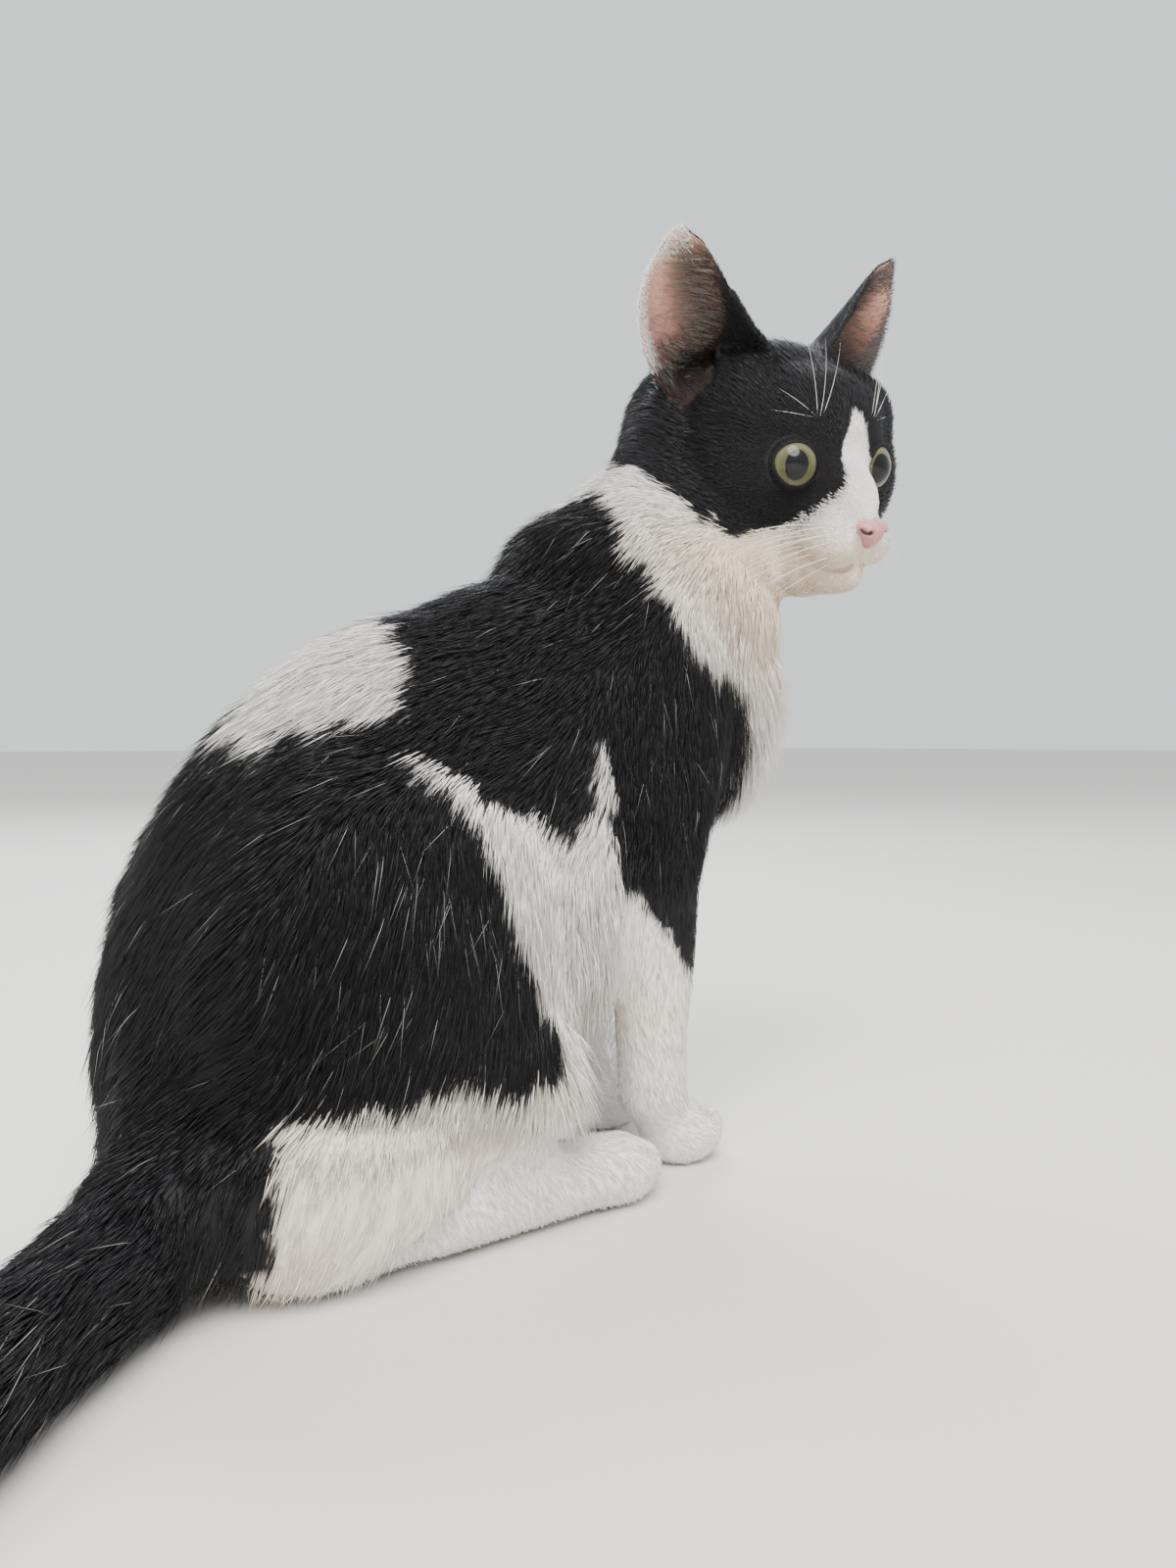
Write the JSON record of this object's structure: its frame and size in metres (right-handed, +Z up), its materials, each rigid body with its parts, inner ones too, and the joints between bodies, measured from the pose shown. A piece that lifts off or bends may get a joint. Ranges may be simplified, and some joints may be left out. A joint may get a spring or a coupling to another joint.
{
  "type": "cat",
  "caption": "Life-size still model of a young short-haired black and white cat, sitting upright with its head turned to its right and its tail on the floor.",
  "frame": {"origin": "on the floor, under the middle of the model's box", "axes": "+X the way the trunk and front feet face, +Y the cat's left, +Z up; the face looks to -Y"},
  "size_m": [0.4106, 0.1788, 0.3084],
  "materials": {
    "black_coat": "short glossy black fur",
    "white_coat": "short soft white fur",
    "nose_leather": "moist pink bare skin",
    "eye": "wet, clear, yellow-green iris with a round black pupil"
  },
  "bodies": {
    "root": {"head": "black_coat", "neck": "white_coat", "trunk": "black_coat", "shoulder_right": "black_coat", "shoulder_left": "black_coat", "forearm_right": "white_coat", "forearm_left": "white_coat", "forepaw_right": "white_coat", "forepaw_left": "white_coat", "thigh_right": "black_coat", "thigh_left": "black_coat", "hind_foot_right": "white_coat", "hind_foot_left": "white_coat", "tail_base": "black_coat", "tail_middle": "black_coat", "tail_tip": "black_coat", "ear_right": "black_coat", "ear_left": "black_coat", "nose": "nose_leather", "eye_right": "eye", "eye_left": "eye"}
  },
  "joints": []
}
